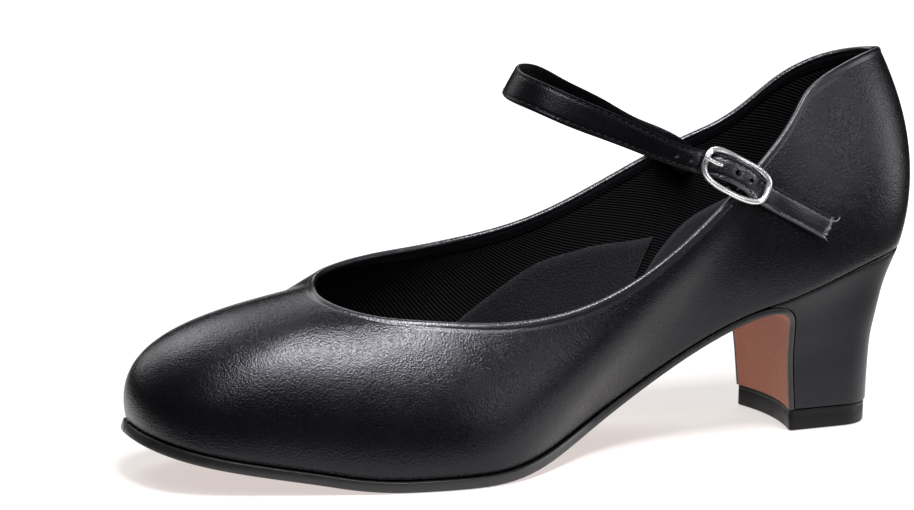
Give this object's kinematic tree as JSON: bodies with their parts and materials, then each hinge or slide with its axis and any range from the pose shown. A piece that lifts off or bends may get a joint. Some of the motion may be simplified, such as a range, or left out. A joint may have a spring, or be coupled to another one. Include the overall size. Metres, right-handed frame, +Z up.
{
  "type": "character shoe",
  "caption": "Left character shoe: a closed round-toe leather pump on a covered block heel, with a buckled instep strap and a thin outsole that runs down the heel's front.",
  "frame": {"origin": "on the floor, at the middle of the underside of the heel's top piece", "axes": "+Z up, the toe points along -Y, +X is the outer side of the foot (left shoe)"},
  "size_m": [0.0814, 0.2533, 0.1172],
  "materials": {
    "upper": "smooth black full-grain leather, satin, with a fine grain",
    "insole": "charcoal cloth-covered footbed, matt",
    "outsole": "tan underside and black-inked edge, matt",
    "heel": "smooth black cover, satin",
    "top_lift": "black rubber, matt",
    "strap": "folded and stitched black leather, satin",
    "buckle": "polished silver-coloured wire",
    "buckle_tab": "black elastic tape, matt"
  },
  "bodies": {
    "root": {"upper": "upper", "insole": "insole", "outsole": "outsole", "heel": "heel", "top_lift": "top_lift", "strap": "strap", "buckle_frame": "buckle", "buckle_prong": "buckle", "buckle_tab": "buckle_tab"}
  },
  "joints": []
}
